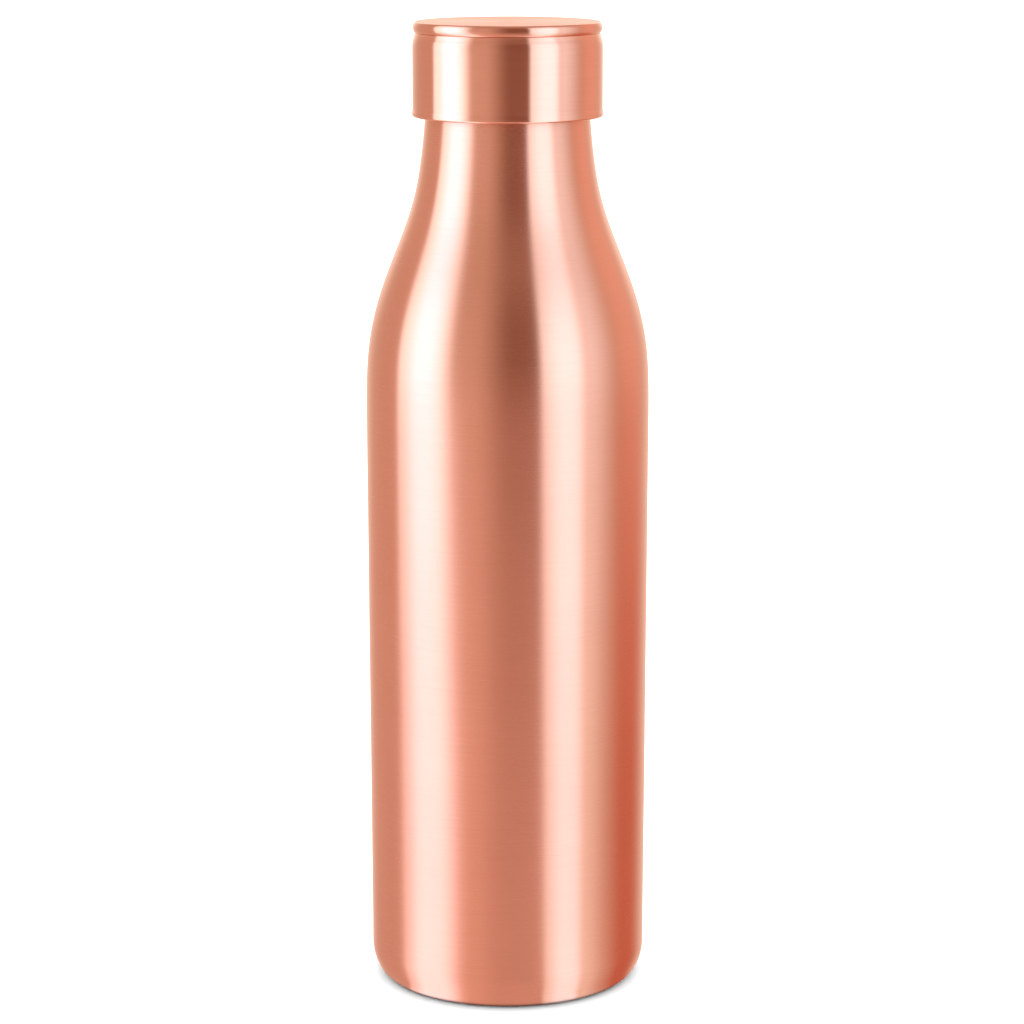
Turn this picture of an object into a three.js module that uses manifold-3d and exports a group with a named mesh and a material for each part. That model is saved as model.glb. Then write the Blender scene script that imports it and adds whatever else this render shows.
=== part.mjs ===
// A copper water bottle with a screw cap.
// Millimetres, +Z up. The bottle stands on z = 0 with its axis on the Z axis.
import * as THREE from "three";
import { mergeVertices } from "three/addons/utils/BufferGeometryUtils.js";
import Module from "manifold-3d";

const wasm = await Module();
wasm.setup();

// Driving dimensions
const SEGMENTS = 48; // facets round the axis
const FIT_GAP = 0.3; // between pieces that are brazed, pressed or bedded together

// Bottle shell
const SHEET = 0.6;
const BODY_R = 38; // widest, where the side meets the shoulder
const FOOT_R = 37.4; // the side narrows a little towards the foot
const FOOT_CORNER_WIDTH = 5.1;
const FOOT_CORNER_HEIGHT = 9;
const STANDING_RING_R = 29; // inner edge of the ring that the bottle stands on
const SIDE_TOP = 156;
const SHOULDER_ROUND = 16.5; // length of the shoulder curve's upper and lower pulls
const SHOULDER_MID = { r: 31, z: 197.5, lean: 0.396 }; // steepest point of the shoulder
const SHOULDER_PULL_DOWN = 17;
const SHOULDER_PULL_UP = 14.6;
const NECK_R = 21.9;
const NECK_LEAN = 0.08;
const NECK_PULL = 20;
const NECK_TOP = 239;

// Base pan, a shallow dome brazed on the inside of the standing ring
const PAN_R = 33;
const PAN_FLAT_R = 26;
const PAN_RISE = 3;
const PAN_Z = SHEET + FIT_GAP + 0.2;

// Threaded mouth sleeve
const MOUTH_TOP = 255.6;
const MOUTH_BORE_R = 18.8;
const SLEEVE_WALL = 1.1;
const SLEEVE_R = MOUTH_BORE_R + SLEEVE_WALL;
const SLEEVE_FOOT = 230;
const SPIGOT_R = 20.7; // the part of the sleeve inside the shell's neck
const LIP_R = 20.1;
const LIP_HEIGHT = 1.4;
const FLANGE_R = 21.7;
const FLANGE_HEIGHT = 1;

// Thread: one start, right-handed, with wide flat ridges
const LEAD = 6;
const THREAD_HALF_FOOT = 1.8;
const THREAD_HALF_CREST = 1.1;
const THREAD_BURIED = 0.3; // how deep a ridge is rooted in its wall
const THREAD_FADE_TURNS = 0.08; // run-out at each end of a ridge
const OUTER_CREST_R = 21.1;
const OUTER_THREAD = { bottom: 243.2, turns: 1.4 };
const INNER_CREST_R = 20.4;
const INNER_THREAD = { bottom: 243.2, turns: 1.4, phase: 0.5 };

// Cap skirt
const CAP_SHEET = 0.7;
const CAP_R = 25.2;
const CAP_EDGE = 236.1;
const HEM_PROUD = 0.15;
const HEM_WIDTH = 1.3;
const HEM_HEIGHT = 1.5;
const HEM_ROUND = 0.4;
const CAP_SHOULDER_WIDTH = 0.65;
const CAP_SHOULDER_HEIGHT = 2.9;
const CAP_SHOULDER_FOOT = 254.2;
const GROOVE_R = 24.5; // the groove between the shoulder and the top disc
const GROOVE_Z = 258;
const COLLAR_R = 23.9; // the collar that the top disc is pressed over
const COLLAR_TOP = 259.6;

// Cap top disc
const CAP_TOP = 261;
const RIM_R = 25; // widest, at the middle of the rim's bulge
const RIM_MIDDLE = 259.6;
const RIM_FOOT = GROOVE_Z + 0.35;
const RIM_ROUND = 0.7; // how far the bulge curves in to the top
const RIM_CURL = 0.55; // and to the foot

// Threaded cap liner
const LINER_FOOT = 240.8;
const LINER_BORE_R = 21.5;
const LINER_R = 23;
const LINER_SHOULDER = 255.5;
const LINER_TOP_R = 22.8;
const LINER_WEB_UNDERSIDE = 258.4;
const LINER_TOP = 259.8;
const RIB_COUNT = 24;
const RIB_R = 24.1;
const RIB_WIDTH = 1.2;

// Inner disc, a copper facing that fills the middle of the seal ring
const INNER_DISC_Z = 256;
const INNER_DISC_R = 18.2;
const INNER_DISC_ROUND = 0.6;
const INNER_FLANGE_R = 20.9;
const INNER_FLANGE_Z = 257.5;

// Seal ring
const SEAL = { inner: 18.6, outer: 21.1, bottom: 255.9, top: 257.2, round: 0.3 };

// Finishes
const brushedCopper = { color: 0xd8805c, roughness: 0.28, metalness: 1 };
const bareCopper = { color: 0xc9795a, roughness: 0.4, metalness: 1 };
const blackPlastic = { color: 0x1d1c1b, roughness: 0.55, metalness: 0 };
const clearSilicone = { color: 0xe4e1da, roughness: 0.6, metalness: 0 };

// Outlines: points of a half section, radius across and height up, with the material on the left.

function at(r, z) {
  return new THREE.Vector2(r, z);
}

function arc(centre, width, height, from, to, steps) {
  const clockwise = to < from;
  const curve = new THREE.EllipseCurve(centre.x, centre.y, width, height, from, to, clockwise);
  return curve.getPoints(steps);
}

function bezier(start, pull1, pull2, end, steps) {
  return new THREE.CubicBezierCurve(start, pull1, pull2, end).getPoints(steps);
}

function outline(...pieces) {
  const points = [];
  for (const point of pieces.flat()) {
    const last = points.at(-1);
    if (!last || last.distanceTo(point) > 1e-4) {
      points.push(point);
    }
  }
  return points;
}

// The line that lies one sheet thickness to the left of another.
function offset(line, thickness) {
  const sideways = (from, to) => {
    const step = to.clone().sub(from).normalize();
    return at(-step.y, step.x);
  };
  return line.map((point, i) => {
    const before = i > 0 ? sideways(line[i - 1], point) : null;
    const after = i < line.length - 1 ? sideways(point, line[i + 1]) : null;
    const first = before ?? after;
    const second = after ?? before;
    const middle = first.clone().add(second).normalize();
    const reach = thickness / middle.dot(first);
    const moved = point.clone().addScaledVector(middle, reach);
    return point.x === 0 ? moved.setX(0) : moved; // an end on the axis stays on it
  });
}

// The closed section of a sheet whose outer face follows a line.
function sheetSection(line, thickness) {
  const back = offset(line, thickness).reverse();
  if (line[0].x === 0) {
    return [...line, ...back];
  }
  if (line.at(-1).x === 0) {
    return [...back, ...line];
  }
  return [...line, ...back, line[0]];
}

function turned(section) {
  const onAxis = section[0].x === 0;
  const loop = onAxis || section[0].equals(section.at(-1)) ? section : [...section, section[0]];
  return new THREE.LatheGeometry(loop, SEGMENTS).rotateX(Math.PI / 2);
}

// Solids

function toSolid(geometry) {
  const bare = geometry.clone();
  bare.deleteAttribute("normal");
  bare.deleteAttribute("uv");
  const merged = mergeVertices(bare, 1e-5);
  const index = merged.index.array;
  const triangles = [];
  for (let i = 0; i < index.length; i += 3) {
    const [a, b, c] = index.slice(i, i + 3);
    if (a !== b && b !== c && c !== a) {
      triangles.push(a, b, c);
    }
  }
  const mesh = new wasm.Mesh({
    numProp: 3,
    vertProperties: new Float32Array(merged.attributes.position.array),
    triVerts: new Uint32Array(triangles),
  });
  return new wasm.Manifold(mesh);
}

function toGeometry(solid) {
  const mesh = solid.getMesh();
  const geometry = new THREE.BufferGeometry();
  geometry.setAttribute("position", new THREE.BufferAttribute(mesh.vertProperties, 3));
  geometry.setIndex(new THREE.BufferAttribute(mesh.triVerts, 1));
  geometry.computeVertexNormals();
  return geometry;
}

// A thread ridge: a straight bar of the ridge's section, wound down round the axis from its top end.
// rootR is the wall that it stands on and crestR its free edge, inside or outside that wall.
function threadRidge(rootR, crestR, { bottom, turns, phase = 0 }) {
  const outwards = Math.sign(crestR - rootR);
  const buriedR = rootR - outwards * THREAD_BURIED;
  const section = new THREE.Shape();
  section.moveTo(buriedR, -THREAD_HALF_FOOT);
  section.lineTo(crestR, -THREAD_HALF_CREST);
  section.lineTo(crestR, THREAD_HALF_CREST);
  section.lineTo(buriedR, THREAD_HALF_FOOT);
  const steps = Math.round(turns * SEGMENTS);
  const bar = new THREE.ExtrudeGeometry(section, { depth: turns, steps, bevelEnabled: false });
  const position = bar.attributes.position;
  for (let i = 0; i < position.count; i += 1) {
    const along = position.getZ(i);
    const toEnd = Math.min(along, turns - along);
    const fullness = Math.min(1, 0.05 + toEnd / THREAD_FADE_TURNS);
    const r = buriedR + (position.getX(i) - buriedR) * fullness;
    const turn = turns - along;
    const angle = 2 * Math.PI * (turn + phase);
    const z = bottom + LEAD * turn + position.getY(i);
    position.setXYZ(i, r * Math.cos(angle), r * Math.sin(angle), z);
  }
  return bar;
}

// Bottle

function bodyShell() {
  const mid = SHOULDER_MID;
  const cornerCentre = at(FOOT_R - FOOT_CORNER_WIDTH, FOOT_CORNER_HEIGHT);
  const line = outline(
    at(STANDING_RING_R, 0),
    arc(cornerCentre, FOOT_CORNER_WIDTH, FOOT_CORNER_HEIGHT, -Math.PI / 2, 0, 5),
    bezier(
      at(BODY_R, SIDE_TOP),
      at(BODY_R, SIDE_TOP + SHOULDER_ROUND),
      at(mid.r + mid.lean * SHOULDER_PULL_DOWN, mid.z - SHOULDER_PULL_DOWN),
      at(mid.r, mid.z),
      7,
    ),
    bezier(
      at(mid.r, mid.z),
      at(mid.r - mid.lean * SHOULDER_PULL_UP, mid.z + SHOULDER_PULL_UP),
      at(NECK_R + NECK_LEAN * NECK_PULL, CAP_EDGE - NECK_PULL),
      at(NECK_R, CAP_EDGE),
      6,
    ),
    at(NECK_R, NECK_TOP),
  );
  return turned(sheetSection(line, SHEET));
}

function basePan() {
  const rise = bezier(
    at(0, PAN_Z + PAN_RISE),
    at(PAN_FLAT_R / 2, PAN_Z + PAN_RISE),
    at(PAN_FLAT_R * 0.8, PAN_Z),
    at(PAN_FLAT_R, PAN_Z),
    5,
  );
  return turned(sheetSection(outline(rise, at(PAN_R, PAN_Z)), SHEET));
}

function mouthSleeve() {
  const flangeFoot = NECK_TOP + FIT_GAP;
  const flangeTop = flangeFoot + FLANGE_HEIGHT;
  const lipMiddle = (MOUTH_BORE_R + LIP_R) / 2;
  const lipRound = (LIP_R - MOUTH_BORE_R) / 2;
  const lip = arc(at(lipMiddle, MOUTH_TOP - lipRound), lipRound, lipRound, 0, Math.PI, 4);
  const section = outline(
    at(SPIGOT_R - SLEEVE_WALL, SLEEVE_FOOT),
    at(SPIGOT_R, SLEEVE_FOOT),
    at(SPIGOT_R, flangeFoot),
    at(FLANGE_R, flangeFoot),
    at(FLANGE_R, flangeTop),
    at(SLEEVE_R, flangeTop),
    at(SLEEVE_R, MOUTH_TOP - LIP_HEIGHT - (LIP_R - SLEEVE_R)),
    at(LIP_R, MOUTH_TOP - LIP_HEIGHT),
    lip,
    at(MOUTH_BORE_R, flangeTop),
    at(SPIGOT_R - SLEEVE_WALL, flangeFoot - FLANGE_HEIGHT),
  );
  const ridge = threadRidge(SLEEVE_R, OUTER_CREST_R, OUTER_THREAD);
  return toGeometry(toSolid(turned(section)).add(toSolid(ridge)));
}

// Cap

function capSkirt() {
  const hemR = CAP_R + HEM_PROUD;
  const hemInner = hemR - HEM_WIDTH;
  const wallInner = CAP_R - CAP_SHEET;
  const shoulderCentre = at(CAP_R - CAP_SHOULDER_WIDTH, CAP_SHOULDER_FOOT);
  const collarInner = COLLAR_R - CAP_SHEET;
  const step = GROOVE_R - COLLAR_R;
  const section = outline(
    at(hemInner, CAP_EDGE + HEM_ROUND),
    at(hemInner + HEM_ROUND, CAP_EDGE),
    at(hemR - HEM_ROUND, CAP_EDGE),
    at(hemR, CAP_EDGE + HEM_ROUND),
    at(hemR, CAP_EDGE + HEM_HEIGHT - HEM_ROUND),
    at(CAP_R, CAP_EDGE + HEM_HEIGHT),
    arc(shoulderCentre, CAP_SHOULDER_WIDTH, CAP_SHOULDER_HEIGHT, 0, Math.PI / 2, 4),
    at(GROOVE_R, GROOVE_Z),
    at(COLLAR_R, GROOVE_Z),
    at(COLLAR_R, COLLAR_TOP),
    at(collarInner, COLLAR_TOP),
    at(collarInner, GROOVE_Z),
    at(GROOVE_R - CAP_SHEET, GROOVE_Z - step),
    at(wallInner, CAP_SHOULDER_FOOT),
    at(wallInner, CAP_EDGE + HEM_HEIGHT + HEM_ROUND),
    at(hemInner, CAP_EDGE + HEM_HEIGHT - HEM_ROUND),
  );
  return turned(section);
}

function capTopDisc() {
  const curlCentre = at(RIM_R - RIM_CURL, RIM_MIDDLE);
  const curl = arc(curlCentre, RIM_CURL, RIM_MIDDLE - RIM_FOOT, -Math.PI / 2, 0, 3);
  const edgeCentre = at(RIM_R - RIM_ROUND, RIM_MIDDLE);
  const edge = arc(edgeCentre, RIM_ROUND, CAP_TOP - RIM_MIDDLE, 0, Math.PI / 2, 4);
  const inside = [
    at(0, CAP_TOP - CAP_SHEET),
    at(RIM_R - CAP_SHEET, CAP_TOP - CAP_SHEET),
    at(RIM_R - CAP_SHEET, RIM_FOOT),
  ];
  return turned(outline(inside, curl, edge, at(0, CAP_TOP)));
}

function capLiner() {
  const section = outline(
    at(0, LINER_WEB_UNDERSIDE),
    at(LINER_BORE_R, LINER_WEB_UNDERSIDE),
    at(LINER_BORE_R, LINER_FOOT),
    at(LINER_R, LINER_FOOT),
    at(LINER_R, LINER_SHOULDER),
    at(LINER_TOP_R, LINER_SHOULDER + (LINER_R - LINER_TOP_R)),
    at(LINER_TOP_R, LINER_TOP),
    at(0, LINER_TOP),
  );
  let solid = toSolid(turned(section));
  solid = solid.add(toSolid(threadRidge(LINER_BORE_R, INNER_CREST_R, INNER_THREAD)));
  const ribInner = LINER_R - THREAD_BURIED;
  const ribHeight = LINER_SHOULDER - LINER_FOOT;
  for (let i = 0; i < RIB_COUNT; i += 1) {
    const rib = new THREE.BoxGeometry(RIB_R - ribInner, RIB_WIDTH, ribHeight);
    rib.translate((RIB_R + ribInner) / 2, 0, LINER_FOOT + ribHeight / 2);
    rib.rotateZ((2 * Math.PI * (i + 0.5)) / RIB_COUNT);
    solid = solid.add(toSolid(rib));
  }
  return toGeometry(solid);
}

function capInnerDisc() {
  const line = outline(
    at(0, INNER_DISC_Z),
    at(INNER_DISC_R - INNER_DISC_ROUND, INNER_DISC_Z),
    at(INNER_DISC_R, INNER_DISC_Z + INNER_DISC_ROUND),
    at(INNER_DISC_R, INNER_FLANGE_Z),
    at(INNER_FLANGE_R, INNER_FLANGE_Z),
  );
  return turned(sheetSection(line, SHEET));
}

function sealRing() {
  const { inner, outer, bottom, top, round } = SEAL;
  return turned(
    outline(
      at(inner, bottom + round),
      at(inner + round, bottom),
      at(outer - round, bottom),
      at(outer, bottom + round),
      at(outer, top),
      at(inner, top),
    ),
  );
}

// Assembly

function piece(name, geometry, finish) {
  const mesh = new THREE.Mesh(geometry, new THREE.MeshStandardMaterial(finish));
  mesh.name = name;
  return mesh;
}

const bottle = new THREE.Group();
bottle.add(piece("body_shell", bodyShell(), brushedCopper));
bottle.add(piece("base_pan", basePan(), bareCopper));
bottle.add(piece("mouth_sleeve", mouthSleeve(), bareCopper));

const cap = new THREE.Group();
cap.add(piece("cap_skirt", capSkirt(), brushedCopper));
cap.add(piece("cap_top_disc", capTopDisc(), brushedCopper));
cap.add(piece("cap_liner", capLiner(), blackPlastic));
cap.add(piece("cap_inner_disc", capInnerDisc(), bareCopper));
cap.add(piece("cap_seal_ring", sealRing(), clearSilicone));

const copperWaterBottle = new THREE.Group();
copperWaterBottle.add(bottle, cap);

export default copperWaterBottle;
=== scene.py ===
"""A copper water bottle with a screw cap: the fine pieces, materials, light and camera.

The bottle stands on z = 0 with its axis on the Z axis. Lengths are in millimetres up to the point
where a mesh or a place is made, which is in metres. An outline is a half section, radius across
and height up, walked with the material on the left. The studio's lengths are in metres.
"""

import math

import bmesh
import bpy
from mathutils import Matrix, Vector, noise


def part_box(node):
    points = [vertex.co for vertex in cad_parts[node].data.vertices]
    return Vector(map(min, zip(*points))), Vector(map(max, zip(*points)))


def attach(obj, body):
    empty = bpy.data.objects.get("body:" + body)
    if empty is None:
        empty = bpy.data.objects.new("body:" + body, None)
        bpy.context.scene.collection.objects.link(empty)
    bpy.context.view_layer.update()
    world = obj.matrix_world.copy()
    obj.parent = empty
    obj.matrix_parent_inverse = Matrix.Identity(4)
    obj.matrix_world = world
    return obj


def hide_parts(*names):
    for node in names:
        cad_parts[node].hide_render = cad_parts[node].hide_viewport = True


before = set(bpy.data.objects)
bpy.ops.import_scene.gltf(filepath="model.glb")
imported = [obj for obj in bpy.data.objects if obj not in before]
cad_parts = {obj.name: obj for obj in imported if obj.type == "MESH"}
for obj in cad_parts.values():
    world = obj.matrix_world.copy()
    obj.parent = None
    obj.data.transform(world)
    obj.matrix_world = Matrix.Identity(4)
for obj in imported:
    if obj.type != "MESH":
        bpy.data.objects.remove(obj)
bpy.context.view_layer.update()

MM = 0.001
TURN = 2 * math.pi


def size_of(node):
    """Outer radius, lowest height and highest height of a round CAD node."""
    low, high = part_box(node)
    return high.x / MM, low.z / MM, high.z / MM


# Sizes that the frame gives
BODY_R, _, NECK_TOP = size_of("body_shell")
PAN_R, PAN_FOOT, PAN_TOP = size_of("base_pan")
FLANGE_R, SLEEVE_FOOT, MOUTH_TOP = size_of("mouth_sleeve")
HEM_R, CAP_EDGE, COLLAR_TOP = size_of("cap_skirt")
RIM_R, RIM_FOOT, CAP_TOP = size_of("cap_top_disc")
RIB_R, LINER_FOOT, LINER_TOP = size_of("cap_liner")
FACING_R, FACING_FOOT, FACING_TOP = size_of("cap_inner_disc")
SEAL_R, SEAL_FOOT, SEAL_TOP = size_of("cap_seal_ring")

# Sheet and fit
SHEET, CAP_SHEET = 0.6, 0.7
FIT_GAP = 0.3  # between pieces that are brazed, pressed or bedded together
CUT_ROUND = 0.12  # rounding of a cut edge of sheet

# Bottle
FOOT_R = BODY_R - 0.6
FOOT_CORNER_WIDTH, FOOT_CORNER_HEIGHT = 5.1, 9.0
STANDING_RING_R = 29.0
SIDE_TOP = 156.0
SHOULDER_R, SHOULDER_Z, SHOULDER_LEAN = 31.0, 197.5, 0.396  # steepest point of the shoulder
SHOULDER_ROUND = 16.5  # this and the pulls say how far each end of a curve stays straight
SHOULDER_PULL_DOWN, SHOULDER_PULL_UP = 17.0, 14.6
NECK_R, NECK_LEAN, NECK_PULL = 21.9, 0.08, 20.0
PAN_FLAT_R = 26.0
PAN_CROWN_PULL, PAN_FLAT_PULL = 13.0, 5.2
MOUTH_BORE_R = 18.8
SLEEVE_R, SLEEVE_WALL = 19.9, 1.1
SPIGOT_R = 20.7
LIP_R, LIP_HEIGHT = 20.1, 1.4
FLANGE_FOOT = NECK_TOP + FIT_GAP
FLANGE_TOP = FLANGE_FOOT + 1.0

# Traces of spinning: how deep they are, and the height over which they change
SWELL, SWELL_LENGTH = 0.035, 40.0
RINGS, RINGS_LENGTH = 0.004, 5.0
CAP_SWELL, CAP_SWELL_LENGTH = 0.012, 30.0
RINGS_CHANGE, CAP_SWELL_CHANGE = 0.3, 1.5  # how much they change round the axis
CAP_NOISE_START = 7.0  # a stretch of the noise that the bottle doesn't use
SETTLE, CAP_SETTLE = 15.0, 4.0  # heights over which they fade out at the ends

# Cap
CAP_R = HEM_R - 0.15
HEM_WIDTH, HEM_HEIGHT, HEM_SLOPE = 1.3, 1.5, 0.4
CAP_SHOULDER_FOOT, CAP_SHOULDER_HEIGHT = 254.2, 2.9
CAP_SHOULDER_WIDTH = 0.65
GROOVE_R = 24.5
GROOVE_Z = RIM_FOOT - 0.35
GROOVE_FLOOR = GROOVE_Z + 0.1
GROOVE_ARC = 62  # degrees that each side of the groove curves through
SEAM = 0.02  # what is left open between the top disc and the groove's floor
COLLAR_R = 23.9
RIM_MIDDLE = 259.6
RIM_ROUND, RIM_CURL = 0.7, 0.55
LINER_BORE_R, LINER_R, LINER_TOP_R = 21.5, 23.0, 22.8
LINER_SHOULDER, LINER_WEB = 255.5, 258.4
RIB_COUNT, RIB_WIDTH, RIB_SIDE = 24, 1.2, 0.5
RIB_RUN_IN, RIB_RUN_OUT = 1.2, 0.8
FACING_BOSS_R = 18.2
FACING_FLANGE_Z = FACING_TOP - SHEET
SEAL_BORE_R = 18.6

# Thread
LEAD = 6.0
RIDGE_FOOT, RIDGE_CREST = 1.8, 1.1  # half widths of a ridge
OUTER_CREST_R, INNER_CREST_R = 21.1, 20.4
THREAD_BOTTOM, THREAD_TURNS, THREAD_FADE = 243.2, 1.4, 0.08
INNER_PHASE = 0.5  # turns from the outer ridge to the inner one, which lies between its turns

# Meshes
ROUND, LINER_ROUND = 192, 384  # segments round the axis
EDGE_FROM, EDGE_FULL = 3.6, 12.6  # degrees that a corner turns, where wear and its painted highlight begin and are full


# Outlines


def at(r, z):
    return Vector((r, z))


def swung(centre, start, angle, steps):
    """Points on the arc that start, an arrow from the centre, sweeps through an angle."""
    return [centre + Matrix.Rotation(angle * k / steps, 2) @ start for k in range(steps + 1)]


def rounded(*corners, steps=6, hold=0.15, hold_share=0.4):
    """The line through corners (r, z, radius), each turned on an arc of its radius.

    A point a little before and after each arc keeps the straight stretches flat. It stands off by
    hold, or by a share of the straight stretch if that is less.
    """
    places = [at(r, z) for r, z, _ in corners]
    reach = [0.0] * len(corners)
    for i in range(1, len(corners) - 1):
        back, on = places[i - 1] - places[i], places[i + 1] - places[i]
        reach[i] = corners[i][2] / math.tan(back.angle(on) / 2)
    line = [places[0]]
    for i in range(1, len(corners) - 1):
        here, radius = places[i], corners[i][2]
        back, on = places[i - 1] - here, places[i + 1] - here
        room_back = (back.length - reach[i] - reach[i - 1]) * hold_share
        room_on = (on.length - reach[i] - reach[i + 1]) * hold_share
        back, on = back.normalized(), on.normalized()
        centre = here + (back + on).normalized() * math.hypot(reach[i], radius)
        start, end = here + back * reach[i] - centre, here + on * reach[i] - centre
        angle = math.atan2(start.x * end.y - start.y * end.x, start.dot(end))
        line.append(here + back * (reach[i] + min(hold, room_back)))
        line += swung(centre, start, angle, steps)
        line.append(here + on * (reach[i] + min(hold, room_on)))
    return line + [places[-1]]


def ellipse(centre, width, height, start, end, steps):
    """Points on an ellipse between two angles in degrees."""
    angles = [math.radians(start + (end - start) * k / steps) for k in range(steps + 1)]
    return [centre + at(width * math.cos(a), height * math.sin(a)) for a in angles]


def bezier(a, b, c, d, steps):
    """Points on the curve from a to d that b and c pull at."""
    line = []
    for k in range(steps + 1):
        t = k / steps
        s = 1 - t
        line.append(s**3 * a + 3 * s * s * t * b + 3 * s * t * t * c + t**3 * d)
    return line


def joined(*lines, longest=5.0):
    """One line through several, without doubled points, and with long stretches divided."""
    points = []
    for point in (p for line in lines for p in line):
        if points and (point - points[-1]).length < 1e-3:
            continue
        if points:
            stretch = point - points[-1]
            parts = math.ceil(stretch.length / longest)
            points += [points[-1] + stretch * (k / parts) for k in range(1, parts)]
        points.append(point)
    return points


def offset(line, thickness):
    """The line one thickness to the left of another. An end on the axis stays on it."""
    moved = []
    for i, point in enumerate(line):
        along = (line[min(i + 1, len(line) - 1)] - line[max(i - 1, 0)]).normalized()
        r = point.x - along.y * thickness
        moved.append(at(r if point.x > 0 else 0, point.y + along.x * thickness))
    return moved


def sheet(line, thickness):
    """The section of a sheet whose outer face follows a line, with its edges rounded over."""
    back = offset(line, thickness)[::-1]

    def edge(a, b):
        return swung((a + b) / 2, (a - b) / 2, math.pi, 6)[1:-1]

    section = line + edge(line[-1], back[0]) + back
    return section + edge(back[-1], line[0]) if line[0].x > 0 else section


# Meshes


def clamped(value):
    return min(max(value, 0.0), 1.0)


def smoothstep(value):
    t = clamped(value)
    return t * t * (3 - 2 * t)


def as_drawn(r, z, angle):
    return r, z


def lathe(name, line, warp=as_drawn, segments=ROUND):
    """A closed mesh turned from an outline that starts and ends on the axis, or closes on itself.

    warp gives a point (r, z) its place at an angle round the axis. The attribute "along" is the
    distance walked along the outline in metres, and "edge" is 1 on a convex corner.
    """
    count = len(line)
    closed = line[0].x > 0
    walked = 0.0
    vertices, along, edge, rings = [], [], [], []
    for i, point in enumerate(line):
        before, after = line[i - 1], line[(i + 1) % count]
        walked += (point - before).length if i else 0.0
        into, out = point - before, after - point
        corner = math.atan2(into.x * out.y - into.y * out.x, into.dot(out))
        on_axis = not closed and i in (0, count - 1)
        wear_and_highlight = clamped((math.degrees(corner) - EDGE_FROM) / (EDGE_FULL - EDGE_FROM))
        turns = 1 if on_axis else segments
        rings.append((len(vertices), turns))
        for k in range(turns):
            angle = TURN * k / segments
            r, z = warp(point.x, point.y, angle)
            vertices.append((r * math.cos(angle) * MM, r * math.sin(angle) * MM, z * MM))
            along.append(walked * MM)
            edge.append(0.0 if on_axis else wear_and_highlight)
    faces = []
    pairs = list(zip(rings, rings[1:]))
    if closed:
        pairs.append((rings[-1], rings[0]))
    for (low, low_turns), (high, high_turns) in pairs:
        for k in range(segments):
            n = (k + 1) % segments
            corners = [low + k % low_turns, low + n % low_turns]
            corners += [high + n % high_turns, high + k % high_turns]
            faces.append(list(dict.fromkeys(corners)))
    mesh = bpy.data.meshes.new(name)
    mesh.from_pydata(vertices, [], faces)
    for key, values in (("along", along), ("edge", edge)):
        mesh.attributes.new(key, "FLOAT", "POINT").data.foreach_set("value", values)
    mesh.shade_smooth()
    piece = bpy.data.objects.new(name, mesh)
    bpy.context.collection.objects.link(piece)
    return piece


def ridge(z, angle, phase=0.0):
    """How far a thread ridge stands out at a height and angle, from 0 to 1."""
    best = 0.0
    turn = (angle / TURN - phase) % 1.0
    while turn <= THREAD_TURNS:
        away = abs(z - THREAD_BOTTOM - LEAD * turn)
        side = smoothstep((RIDGE_FOOT - away) / (RIDGE_FOOT - RIDGE_CREST))
        fade = smoothstep(min(turn, THREAD_TURNS - turn) / THREAD_FADE)
        best = max(best, side * fade)
        turn += 1.0
    return best


# Pieces of the bottle


def body_shell():
    foot = at(FOOT_R - FOOT_CORNER_WIDTH, FOOT_CORNER_HEIGHT)
    side, neck = at(BODY_R, SIDE_TOP), at(NECK_R, CAP_EDGE)
    middle, lean = at(SHOULDER_R, SHOULDER_Z), at(-SHOULDER_LEAN, 1.0)
    neck_pull = at(NECK_LEAN, -1.0) * NECK_PULL
    line = joined(
        [at(STANDING_RING_R + SHEET / 2, 0)],
        ellipse(foot, FOOT_CORNER_WIDTH, FOOT_CORNER_HEIGHT, -90, 0, 22),
        bezier(side, side + at(0, SHOULDER_ROUND), middle - lean * SHOULDER_PULL_DOWN, middle, 30),
        bezier(middle, middle + lean * SHOULDER_PULL_UP, neck + neck_pull, neck, 30),
        [at(NECK_R, NECK_TOP - SHEET / 2)],
        longest=1.5,
    )

    def spun(r, z, angle):
        """Spinning leaves faint rings and a slight swell round the wall."""
        x, y = math.cos(angle), math.sin(angle)
        swell = noise.noise(Vector((x, y, z / SWELL_LENGTH)))
        rings = noise.noise(Vector((RINGS_CHANGE * x, RINGS_CHANGE * y, z / RINGS_LENGTH)))
        settled = smoothstep(z / SETTLE) * smoothstep((CAP_EDGE - z) / SETTLE)
        return r + (SWELL * swell + RINGS * rings) * settled, z

    return lathe("body_shell_fine", sheet(line, SHEET), spun)


def base_pan():
    crown, flat = at(0, PAN_TOP - SHEET), at(PAN_FLAT_R, PAN_FOOT)
    dome = bezier(crown, crown + at(PAN_CROWN_PULL, 0), flat - at(PAN_FLAT_PULL, 0), flat, 24)
    return lathe("base_pan_fine", sheet(joined(dome, [at(PAN_R - SHEET / 2, PAN_FOOT)]), SHEET))


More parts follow.
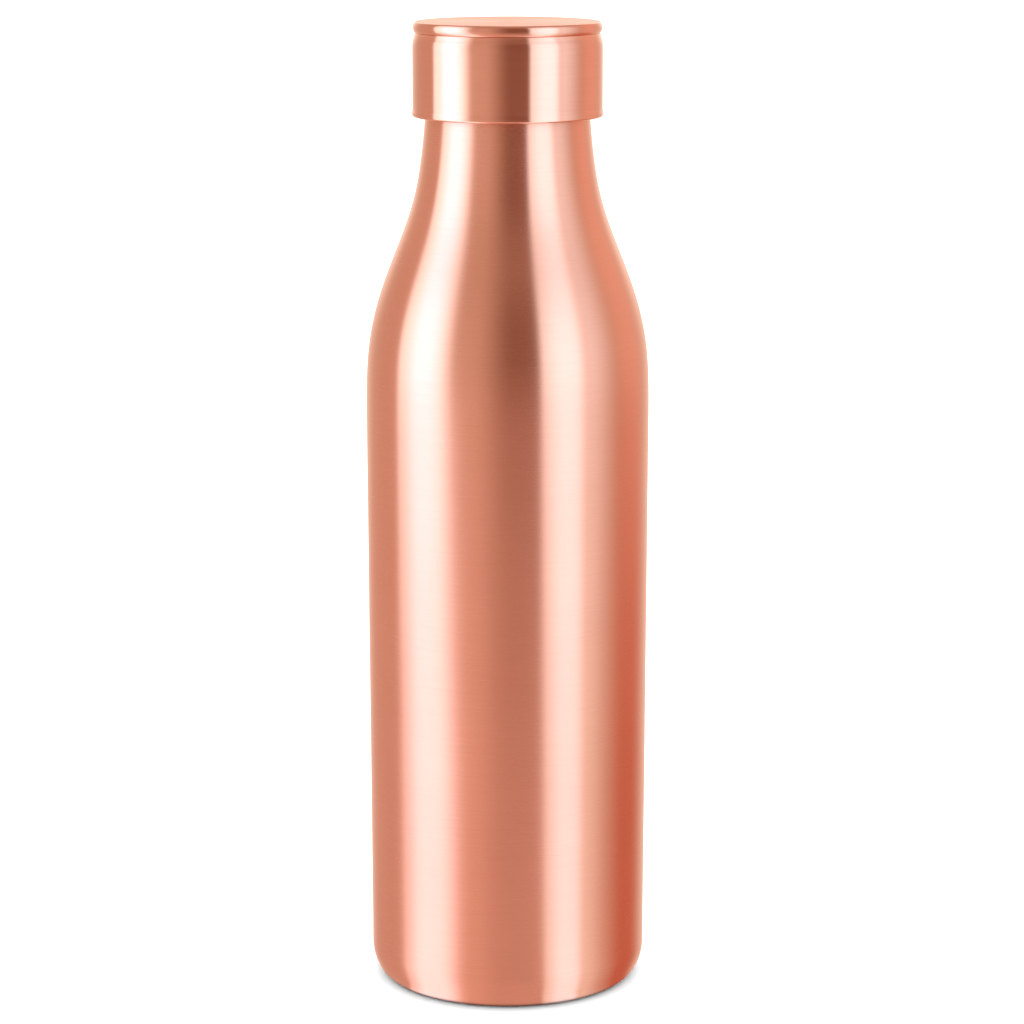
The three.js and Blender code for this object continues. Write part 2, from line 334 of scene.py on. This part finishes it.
def mouth_sleeve():
    inner_foot_r = SPIGOT_R - SLEEVE_WALL
    lip_r = (LIP_R - MOUTH_BORE_R) / 2
    lip_z = MOUTH_TOP - lip_r
    outside = rounded(
        (inner_foot_r, SLEEVE_FOOT + 3, 0),
        (inner_foot_r, SLEEVE_FOOT, CUT_ROUND),
        (SPIGOT_R, SLEEVE_FOOT, CUT_ROUND),
        (SPIGOT_R, FLANGE_FOOT, 0.05),
        (FLANGE_R, FLANGE_FOOT, CUT_ROUND),
        (FLANGE_R, FLANGE_TOP, 0.3),
        (SLEEVE_R, FLANGE_TOP, 0.3),
        (SLEEVE_R, MOUTH_TOP - LIP_HEIGHT - 0.2, 0.2),
        (LIP_R, MOUTH_TOP - LIP_HEIGHT, 0.2),
        (LIP_R, lip_z, 0),
    )
    lip = ellipse(at(MOUTH_BORE_R + lip_r, lip_z), lip_r, lip_r, 0, 180, 14)
    bore = rounded(
        (MOUTH_BORE_R, lip_z, 0),
        (MOUTH_BORE_R, FLANGE_TOP, 0.6),
        (inner_foot_r, FLANGE_FOOT - 1, 0.6),
        (inner_foot_r, SLEEVE_FOOT + 3.2, 0),
    )

    def threaded(r, z, angle):
        on_wall = abs(r - SLEEVE_R) < 0.01 and FLANGE_TOP < z
        return (r + (OUTER_CREST_R - SLEEVE_R) * ridge(z, angle) if on_wall else r), z

    line = joined(outside, lip, longest=0.25) + joined(bore, longest=2.0)[1:]
    return lathe("mouth_sleeve_fine", line, threaded)


# Pieces of the cap


def cap_skirt():
    hem_in = HEM_R - HEM_WIDTH
    hem_low, hem_high = CAP_EDGE + HEM_HEIGHT - HEM_SLOPE, CAP_EDGE + HEM_HEIGHT + HEM_SLOPE
    wall_in = CAP_R - CAP_SHEET
    collar_in = COLLAR_R - CAP_SHEET
    wall = rounded(
        (hem_in, CAP_EDGE + 0.9, 0),
        (hem_in, CAP_EDGE, 0.45),
        (HEM_R, CAP_EDGE, 0.5),
        (HEM_R, hem_low, 0.3),
        (CAP_R, hem_high, 0.3),
        (CAP_R, CAP_SHOULDER_FOOT, 0),
    )
    centre = at(CAP_R - CAP_SHOULDER_WIDTH, CAP_SHOULDER_FOOT)
    shoulder = ellipse(centre, CAP_SHOULDER_WIDTH, CAP_SHOULDER_HEIGHT, 0, GROOVE_ARC, 16)
    inside = rounded(
        (GROOVE_R + 0.08, GROOVE_FLOOR - 0.16, 0),
        (GROOVE_R, GROOVE_FLOOR, 0.05),
        (COLLAR_R, GROOVE_FLOOR, 0.1),
        (COLLAR_R, COLLAR_TOP, CUT_ROUND),
        (collar_in, COLLAR_TOP, CUT_ROUND),
        (collar_in, GROOVE_Z, 0.3),
        (GROOVE_R - CAP_SHEET, GROOVE_Z - 0.6, 0.3),
        (wall_in, CAP_SHOULDER_FOOT, 1.0),
        (wall_in, hem_high, 0.2),
        (hem_in, hem_low, 0.3),
        (hem_in, CAP_EDGE + 1.0, 0),
    )

    def spun(r, z, angle):
        """Spinning leaves a slight swell round the wall."""
        x, y = CAP_SWELL_CHANGE * math.cos(angle), CAP_SWELL_CHANGE * math.sin(angle)
        swell = noise.noise(Vector((x, y, CAP_NOISE_START + z / CAP_SWELL_LENGTH)))
        settled = smoothstep((z - CAP_EDGE - 1) / CAP_SETTLE)
        settled *= smoothstep((CAP_SHOULDER_FOOT - z) / CAP_SETTLE)
        return r + CAP_SWELL * swell * settled, z

    return lathe("cap_skirt_fine", joined(wall, shoulder, inside, longest=2.0), spun)


def cap_top_disc():
    inside_r = RIM_R - CAP_SHEET - 0.1
    foot = GROOVE_FLOOR + SEAM
    inside = rounded(
        (0, CAP_TOP - CAP_SHEET, 0),
        (inside_r, CAP_TOP - CAP_SHEET, 0.4),
        (inside_r, foot, 0.05),
        (GROOVE_R, foot, 0),
    )
    curl_centre, edge_centre = at(RIM_R - RIM_CURL, RIM_MIDDLE), at(RIM_R - RIM_ROUND, RIM_MIDDLE)
    curl = ellipse(curl_centre, RIM_CURL, RIM_MIDDLE - foot, -GROOVE_ARC, 0, 14)
    edge = ellipse(edge_centre, RIM_ROUND, CAP_TOP - RIM_MIDDLE, 0, 90, 18)
    return lathe("cap_top_disc_fine", joined(inside, curl, edge, [at(0, CAP_TOP)], longest=1.5))


def cap_liner():
    line = rounded(
        (0, LINER_WEB, 0),
        (LINER_BORE_R, LINER_WEB, 0.4),
        (LINER_BORE_R, LINER_FOOT, 0.3),
        (LINER_R, LINER_FOOT, 0.3),
        (LINER_R, LINER_SHOULDER, 0.3),
        (LINER_TOP_R, LINER_SHOULDER + 0.2, 0.1),
        (LINER_TOP_R, LINER_TOP, 0.4),
        (0, LINER_TOP, 0),
    )
    pitch = TURN / RIB_COUNT

    def moulded(r, z, angle):
        if r < LINER_BORE_R - 0.01 or z > LINER_SHOULDER:
            return r, z
        if r < (LINER_BORE_R + LINER_R) / 2:
            return r - (LINER_BORE_R - INNER_CREST_R) * ridge(z, angle, INNER_PHASE), z
        from_rib = abs(angle % pitch - pitch / 2) * r
        rib = smoothstep((RIB_WIDTH / 2 + 0.3 - from_rib) / RIB_SIDE)
        begun = smoothstep((z - LINER_FOOT) / RIB_RUN_IN)
        left = smoothstep((LINER_SHOULDER - z) / RIB_RUN_OUT)
        return r + (RIB_R - LINER_R) * rib * (begun * left), z

    return lathe("cap_liner_fine", joined(line, longest=0.4), moulded, segments=LINER_ROUND)


def cap_inner_disc():
    inner_r = FACING_BOSS_R - SHEET
    line = rounded(
        (0, FACING_FOOT, 0),
        (FACING_BOSS_R, FACING_FOOT, 0.6),
        (FACING_BOSS_R, FACING_FLANGE_Z, 0.2),
        (FACING_R, FACING_FLANGE_Z, CUT_ROUND),
        (FACING_R, FACING_TOP, CUT_ROUND),
        (inner_r, FACING_TOP, 0.4),
        (inner_r, FACING_FOOT + SHEET, 0.3),
        (0, FACING_FOOT + SHEET, 0),
    )
    return lathe("cap_inner_disc_fine", joined(line, longest=1.5))


def cap_seal_ring():
    line = rounded(
        (SEAL_BORE_R, SEAL_FOOT + 0.6, 0),
        (SEAL_BORE_R, SEAL_FOOT, 0.35),
        (SEAL_R, SEAL_FOOT, 0.35),
        (SEAL_R, SEAL_TOP, 0.25),
        (SEAL_BORE_R, SEAL_TOP, 0.25),
        (SEAL_BORE_R, SEAL_FOOT + 0.7, 0),
    )
    return lathe("cap_seal_ring_fine", line)


# Materials


class Graph:
    """Adds nodes to a material. An input is a value or another node's output."""

    def __init__(self, tree):
        self.tree = tree
        tree.nodes.clear()

    def add(self, kind, inputs=None, **settings):
        made = self.tree.nodes.new(kind)
        for key, value in settings.items():
            setattr(made, key, value)
        for key, value in (inputs or {}).items():
            self.give(made.inputs[key], value)
        return made

    def give(self, socket, value):
        if isinstance(value, bpy.types.NodeSocket):
            self.tree.links.new(value, socket)
        else:
            socket.default_value = value

    def math(self, operation, a, b=0.0):
        return self.add("ShaderNodeMath", {0: a, 1: b}, operation=operation).outputs[0]

    def mapped(self, value, low, high, to_low, to_high, **settings):
        inputs = {"Value": value, "From Min": low, "From Max": high}
        inputs |= {"To Min": to_low, "To Max": to_high}
        return self.add("ShaderNodeMapRange", inputs, **settings).outputs["Result"]

    def mixed(self, share, a, b):
        mix = self.add("ShaderNodeMix", {"Factor": share}, data_type="RGBA")
        self.give(mix.inputs[6], a)
        self.give(mix.inputs[7], b)
        return mix.outputs[2]

    def noise(self, vector, scale, detail=2.0, roughness=0.5):
        inputs = {"Vector": vector, "Scale": scale, "Detail": detail, "Roughness": roughness}
        return self.add("ShaderNodeTexNoise", inputs).outputs["Fac"]

    def place(self):
        return self.add("ShaderNodeTexCoord").outputs["Object"]

    def brushing(self, length, width):
        """A coordinate that changes over a length round the axis and a width along the outline."""
        split = self.add("ShaderNodeSeparateXYZ", {0: self.place()})
        along = self.add("ShaderNodeAttribute", attribute_name="along").outputs["Fac"]
        x = self.math("DIVIDE", split.outputs[0], length * MM)
        y = self.math("DIVIDE", split.outputs[1], length * MM)
        z = self.math("DIVIDE", along, width * MM)
        return self.add("ShaderNodeCombineXYZ", {0: x, 1: y, 2: z}).outputs[0]

    def surface(self, **inputs):
        named = {key.replace("_", " "): value for key, value in inputs.items()}
        shader = self.add("ShaderNodeBsdfPrincipled", named)
        self.add("ShaderNodeOutputMaterial", {"Surface": shader.outputs[0]})


def new_material(name):
    made = bpy.data.materials.new(name)
    made.use_nodes = True
    return made, Graph(made.node_tree)


def opaque(colour):
    return [*colour, 1.0]


def shade(tone, factor):
    return opaque(min(c * factor, 1.0) for c in tone)


NOISE_LOW, NOISE_HIGH = 0.3, 0.7  # most values of a noise lie between these
TONE_RANGE = 0.2  # how far copper may be lighter or darker than its tone
WIDE_STREAK, FINE_STREAK = (14, 0.35), (5, 0.09)  # length round the axis, width along the outline
STREAK_RELIEF, WIDE_SHARE = 0.05, 0.6  # depth, and how much of it the wide streaks make
CLOUD_SCALE, RUB_SCALE = 28.0, 160.0  # noise cells in a metre, of faint tarnish and rubbed spots
WEAR_AND_HIGHLIGHT_LIGHTENS, RUB_SMOOTHS = 0.16, 0.75  # brightness added at rubbed edges, part wear and part painted highlight, and share of the roughness left
DULL_FROM = 0.97  # a face gets duller from this much upward to straight up, which is 1
DULL_ROUGHNESS, DULL_SMEAR = 0.38, 0.35
ACROSS_RINGS = 0.25  # turns between a smear along the rings and one across them


def copper(name, tone, *, roughness, smear, streaks, patches, bump, vary):
    """Copper brushed in rings round the axis, which smears reflections across the rings.

    Streaks and patches change its brightness by so much either way, and the finest streaks vary
    its roughness. Its convex edges are rubbed, so they are smoother in spots, and lighter there,
    partly from the wear and partly as a painted highlight that brightens the rims. A face that
    looks straight up is duller, because it is touched and wiped in all directions.
    """
    made, graph = new_material(name)
    wide = graph.noise(graph.brushing(*WIDE_STREAK), 1.0, 4.0, 0.65)
    fine = graph.noise(graph.brushing(*FINE_STREAK), 1.0, 3.0, 0.6)
    cloud = graph.noise(graph.place(), CLOUD_SCALE, 3.0, 0.55)
    spots = graph.mapped(graph.noise(graph.place(), RUB_SCALE), 0.35, 0.65, 0.3, 1.0)
    edge = graph.add("ShaderNodeAttribute", attribute_name="edge").outputs["Fac"]
    wear_and_highlight = graph.math("MULTIPLY", edge, spots)

    streaked = graph.mapped(wide, NOISE_LOW, NOISE_HIGH, -streaks, streaks)
    clouded = graph.mapped(cloud, NOISE_LOW, NOISE_HIGH, -patches, patches)
    brightness = graph.math("ADD", streaked, clouded)
    # rubbed edges are lighter, partly from wear and partly as a painted highlight on the rims
    brightness = graph.math("ADD", brightness, graph.math("MULTIPLY", wear_and_highlight, WEAR_AND_HIGHLIGHT_LIGHTENS))
    share = graph.mapped(brightness, -TONE_RANGE, TONE_RANGE, 0.0, 1.0)
    colour = graph.mixed(share, shade(tone, 1 - TONE_RANGE), shade(tone, 1 + TONE_RANGE))

    smooth, rough = roughness * (1 - vary), roughness * (1 + vary)
    polish = graph.mapped(fine, NOISE_LOW, NOISE_HIGH, smooth, rough)
    polish = graph.math("MULTIPLY", polish, graph.mapped(wear_and_highlight, 0.0, 1.0, 1.0, RUB_SMOOTHS))
    normal = graph.add("ShaderNodeTexCoord").outputs["Normal"]
    upward = graph.add("ShaderNodeSeparateXYZ", {0: normal}).outputs[2]
    dull = graph.mapped(upward, DULL_FROM, 1.0, 0.0, 1.0)
    polish = graph.mapped(dull, 0.0, 1.0, polish, DULL_ROUGHNESS)
    smear = graph.mapped(dull, 0.0, 1.0, smear, DULL_SMEAR)

    wide_grain = graph.math("MULTIPLY", wide, WIDE_SHARE)
    fine_grain = graph.math("MULTIPLY", fine, 1 - WIDE_SHARE)
    grain = graph.math("ADD", wide_grain, fine_grain)
    depth = {"Strength": bump, "Distance": STREAK_RELIEF * MM, "Height": grain}
    relief = graph.add("ShaderNodeBump", depth)
    tangent = graph.add("ShaderNodeTangent", direction_type="RADIAL", axis="Z")
    graph.surface(
        Base_Color=colour,
        Metallic=1.0,
        Roughness=polish,
        Anisotropic=smear,
        Anisotropic_Rotation=ACROSS_RINGS,
        Tangent=tangent.outputs[0],
        Normal=relief.outputs[0],
    )
    return made


GRAIN_SCALE, FLOW_SCALE = 4000.0, 90.0  # noise cells in a metre, of the mould's grain and the flow
GRAIN_RELIEF, GRAIN_BUMP, GRAIN_VARY = 0.03, 0.15, 0.15


def moulded_material(name, tone, roughness, **more):
    """Plastic or rubber with the fine grain of its mould."""
    made, graph = new_material(name)
    grain = graph.noise(graph.place(), GRAIN_SCALE, 2.0, 0.6)
    flow = graph.noise(graph.place(), FLOW_SCALE, 2.0, 0.5)
    smooth, rough = roughness * (1 - GRAIN_VARY), roughness * (1 + GRAIN_VARY)
    depth = {"Strength": GRAIN_BUMP, "Distance": GRAIN_RELIEF * MM, "Height": grain}
    relief = graph.add("ShaderNodeBump", depth)
    graph.surface(
        Base_Color=graph.mixed(flow, shade(tone, 1 - TONE_RANGE), shade(tone, 1 + TONE_RANGE)),
        Roughness=graph.mapped(grain, NOISE_LOW, NOISE_HIGH, smooth, rough),
        Normal=relief.outputs[0],
        **more,
    )
    return made


# Studio. Lengths are in metres. An azimuth is in degrees round the axis from the camera, to the
# right. A slope is the height of a point of the tent as a share of the tent's radius.

BEHIND, BEHIND_HIGH = (1.0, 0.78, 0.64), (1.4, 1.25, 1.1)  # the light behind the bottle
BEHIND_LOW_TO, BEHIND_HIGH_FROM = -0.02, 0.08  # slopes
# A panel is its first edge and that edge's softness, its last edge and its softness, and a colour.
WALLS = (
    (-155, 20, 152, 22, (0.72, 0.51, 0.41)),  # warm walls
    (-132, 14, -95, 6, (0.71, 0.46, 0.365)),  # deeper wall beyond the left soft box
    (-100, 3, -50, 8, (1.6, 1.8, 1.95)),  # left soft box
    (-86, 7, -60, 8, (2.2, 2.3, 3.0)),  # its bright middle
    (-12, 17, 40, 10, (0.26, 0.12, 0.08)),  # dark card in front
    (27, 3, 66, 6, (1.4, 1.55, 1.7)),  # right soft box
    (37, 9, 62, 7, (1.8, 1.95, 2.35)),  # its bright middle
    (66, 6, 86, 20, (1.15, 1.22, 1.33)),  # its spill
    (104, 12, 138, 14, (0.91, 0.55, 0.44)),  # red-brown card
)
TABLE = (
    (-158, 16, 154, 18, (0.73, 0.46, 0.37)),  # warm table
    (-60, 6, -18, 18, (0.9, 0.57, 0.48)),  # glow beside the left soft box
    (-98, 5, -42, 11, (1.3, 1.05, 1.08)),  # left soft box
    (-86, 8, -49, 10, (1.5, 1.6, 1.85)),  # its bright middle
    (-8, 17, 44, 10, (0.75, 0.47, 0.4)),  # dark card in front
    (31, 3, 68, 6, (1.1, 1.0, 0.96)),  # right soft box
    (39, 8, 64, 7, (1.3, 1.52, 1.75)),  # its bright middle
    (66, 6, 81, 13, (1.03, 0.92, 0.84)),  # its spill
    (100, 12, 138, 12, (0.61, 0.185, 0.115)),  # red-brown card
)
CEILING = (0.57, 0.37, 0.3)
CEILING_FOOT, CEILING_FULL = 26, 62  # elevations between which the walls turn into the ceiling
HALFWAY, LEAN_IN = 0.5, 0.97  # slope, and the share of its azimuth that a panel keeps there
TENT_R = 6.0
TABLE_R, TABLE_FADE_R = 0.92, 0.552  # the table's light fades out between these
TABLE_Z, FLOOR_Z = -0.0005, -0.0001
UNDERSIDE = (0.0327, 0.0352)  # the table is dark under the bottle, and lit from here
LAG_ROUNDS = 3  # times that the turn of a reflected ray is worked out, each from the last
FLOOR_SHADES, FLOOR_GRAIN, FLOOR_ROUGHNESS, FLOOR_SIZE = (0.88, 0.92), 6.0, 0.8, 15.0
ROOM_LIGHT = 2.3


def stage_mesh(name, make, material):
    mesh = bpy.data.meshes.new(name)
    made = bmesh.new()
    make(made)
    made.to_mesh(mesh)
    made.free()
    mesh.materials.append(material)
    thing = bpy.data.objects.new(name, mesh)
    bpy.context.collection.objects.link(thing)
    return thing


def reflected_only(thing):
    """Only the reflections in the object see this light."""
    thing.visible_camera = False
    thing.visible_diffuse = False
    thing.visible_transmission = False
    thing.visible_volume_scatter = False
    thing.visible_shadow = False
    thing.data.materials[0].cycles.emission_sampling = "NONE"


def soft_step(graph, value, low, high, to_low=0.0, to_high=1.0):
    return graph.mapped(value, low, high, to_low, to_high, interpolation_type="SMOOTHSTEP")


def azimuth_of(graph):
    """The angle round the axis from the camera, in radians, and the height of a point."""
    split = graph.add("ShaderNodeSeparateXYZ", {0: graph.place()})
    towards = graph.math("MULTIPLY", split.outputs[1], -1.0)
    return graph.math("ARCTAN2", split.outputs[0], towards), split.outputs[2]


def panel_light(graph, panels, azimuth, behind):
    """The light of the panels at an azimuth in radians. A later panel hides an earlier one."""
    azimuth = graph.math("MULTIPLY", azimuth, 360 / TURN)
    colour = behind
    for first, first_soft, last, last_soft, panel in panels:
        begun = soft_step(graph, azimuth, first - first_soft, first + first_soft)
        left = soft_step(graph, azimuth, last - last_soft, last + last_soft, 1.0, 0.0)
        colour = graph.mixed(graph.math("MULTIPLY", begun, left), colour, opaque(panel))
    return colour


def light_tent():
    made, graph = new_material("light_tent")
    azimuth, height = azimuth_of(graph)
    slope = graph.math("DIVIDE", height, TENT_R)
    azimuth = graph.math("MULTIPLY", azimuth, graph.mapped(slope, 0.0, HALFWAY, 1.0, LEAN_IN))
    foot, full = (math.sin(math.radians(angle)) for angle in (CEILING_FOOT, CEILING_FULL))
    above = soft_step(graph, slope, foot, full)
    high = soft_step(graph, slope, BEHIND_LOW_TO, BEHIND_HIGH_FROM)
    behind = graph.mixed(high, opaque(BEHIND), opaque(BEHIND_HIGH))
    colour = graph.mixed(above, panel_light(graph, WALLS, azimuth, behind), opaque(CEILING))
    glow = graph.add("ShaderNodeEmission", {"Color": colour, "Strength": 1.0})
    graph.add("ShaderNodeOutputMaterial", {"Surface": glow.outputs[0]})

    def sphere(mesh):
        bmesh.ops.create_uvsphere(mesh, u_segments=128, v_segments=64, radius=TENT_R)

    reflected_only(stage_mesh("light_tent", sphere, made))


def table_glow():
    """The table as the bottle reflects it.

    A ray that leaves the side of the bottle turns further as it nears the table. The bands are
    laid out so that, reflected there, each lines up with its band on the walls.
    """
    made, graph = new_material("table_glow")
    length = graph.add("ShaderNodeVectorMath", {0: graph.place()}, operation="LENGTH")
    away = length.outputs["Value"]
    near = graph.math("MINIMUM", graph.math("DIVIDE", BODY_R * MM, away), 1.0)
    azimuth = placed = azimuth_of(graph)[0]
    for _ in range(LAG_ROUNDS):
        half = graph.math("SINE", graph.math("MULTIPLY", azimuth, 0.5))
        lag = graph.math("ARCSINE", graph.math("MULTIPLY", half, near))
        azimuth = graph.math("ADD", placed, lag)
    colour = panel_light(graph, TABLE, azimuth, opaque(BEHIND))
    lit = soft_step(graph, away, *UNDERSIDE)
    glow = graph.add("ShaderNodeEmission", {"Color": colour, "Strength": lit})
    clear = graph.add("ShaderNodeBsdfTransparent")
    fade = soft_step(graph, away, TABLE_FADE_R, TABLE_R, 1.0, 0.0)
    mix = graph.add("ShaderNodeMixShader", {0: fade, 1: clear.outputs[0], 2: glow.outputs[0]})
    graph.add("ShaderNodeOutputMaterial", {"Surface": mix.outputs[0]})

    def disc(mesh):
        bmesh.ops.create_circle(mesh, cap_ends=True, segments=96, radius=TABLE_R)

    table = stage_mesh("table_glow", disc, made)
    table.location.z = TABLE_Z
    reflected_only(table)


def floor():
    made, graph = new_material("floor")
    grain = graph.noise(graph.place(), FLOOR_GRAIN, 3.0, 0.5)
    dark, light = (opaque([grey] * 3) for grey in FLOOR_SHADES)
    graph.surface(Base_Color=graph.mixed(grain, dark, light), Roughness=FLOOR_ROUGHNESS)

    def plane(mesh):
        bmesh.ops.create_grid(mesh, x_segments=2, y_segments=2, size=FLOOR_SIZE)

    ground = stage_mesh("floor", plane, made)
    ground.location.z = FLOOR_Z
    ground.visible_glossy = False


def room_light():
    world = bpy.data.worlds.new("soft_white_room")
    bpy.context.scene.world = world
    world.use_nodes = True
    background = world.node_tree.nodes["Background"].inputs
    background["Color"].default_value = opaque([1.0] * 3)
    background["Strength"].default_value = ROOM_LIGHT
    world.cycles_visibility.glossy = False


FOCAL_LENGTH, SENSOR_WIDTH = 117.85, 36.0
CAMERA_PLACE = (0.00116, -0.891, 0.309)
CAMERA_DOWN = 11.415  # degrees below level
NEAREST, FARTHEST = 0.05, 60.0


def camera():
    lens = bpy.data.cameras.new("camera")
    lens.lens, lens.sensor_width = FOCAL_LENGTH, SENSOR_WIDTH
    lens.clip_start, lens.clip_end = NEAREST, FARTHEST
    made = bpy.data.objects.new("camera", lens)
    made.location = CAMERA_PLACE
    made.rotation_euler = (math.radians(90 - CAMERA_DOWN), 0.0, 0.0)
    bpy.context.collection.objects.link(made)
    bpy.context.scene.camera = made


# Assembly

OUTSIDE_TONE, INSIDE_TONE = (0.93, 0.47, 0.35), (0.86, 0.42, 0.3)
BLACK, CLOUDY_WHITE = (0.018, 0.017, 0.016), (0.75, 0.73, 0.68)
brushed = copper(
    "brushed_copper", OUTSIDE_TONE, roughness=0.26, smear=0.9,
    streaks=0.022, patches=0.025, bump=0.03, vary=0.06,
)
cap_brushed = copper(
    "cap_copper", OUTSIDE_TONE, roughness=0.19, smear=0.96,
    streaks=0.028, patches=0.025, bump=0.03, vary=0.08,
)
plain = copper(
    "plain_copper", INSIDE_TONE, roughness=0.32, smear=0.6,
    streaks=0.06, patches=0.1, bump=0.06, vary=0.08,
)
liner = moulded_material("liner_plastic", BLACK, 0.5)
silicone = moulded_material("silicone", CLOUDY_WHITE, 0.45, Subsurface_Weight=0.4)

ASSEMBLY = (  # maker, node it stands for, body, slot, material
    (body_shell, "body_shell", "bottle", "brushed_copper", brushed),
    (base_pan, "base_pan", "bottle", "plain_copper", plain),
    (mouth_sleeve, "mouth_sleeve", "bottle", "plain_copper", plain),
    (cap_skirt, "cap_skirt", "cap", "cap_copper", cap_brushed),
    (cap_top_disc, "cap_top_disc", "cap", "cap_copper", cap_brushed),
    (cap_liner, "cap_liner", "cap", "liner_plastic", liner),
    (cap_inner_disc, "cap_inner_disc", "cap", "plain_copper", plain),
    (cap_seal_ring, "cap_seal_ring", "seal", "silicone", silicone),
)
for make, node, body, slot, material in ASSEMBLY:
    piece = make()
    piece.data.materials.append(material)
    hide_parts(node)
    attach(piece, body)

light_tent()
table_glow()
floor()
room_light()
camera()

scene = bpy.context.scene
scene.view_settings.view_transform = "Standard"
scene.view_settings.look = "None"
scene.cycles.caustics_reflective = False
scene.cycles.caustics_refractive = False
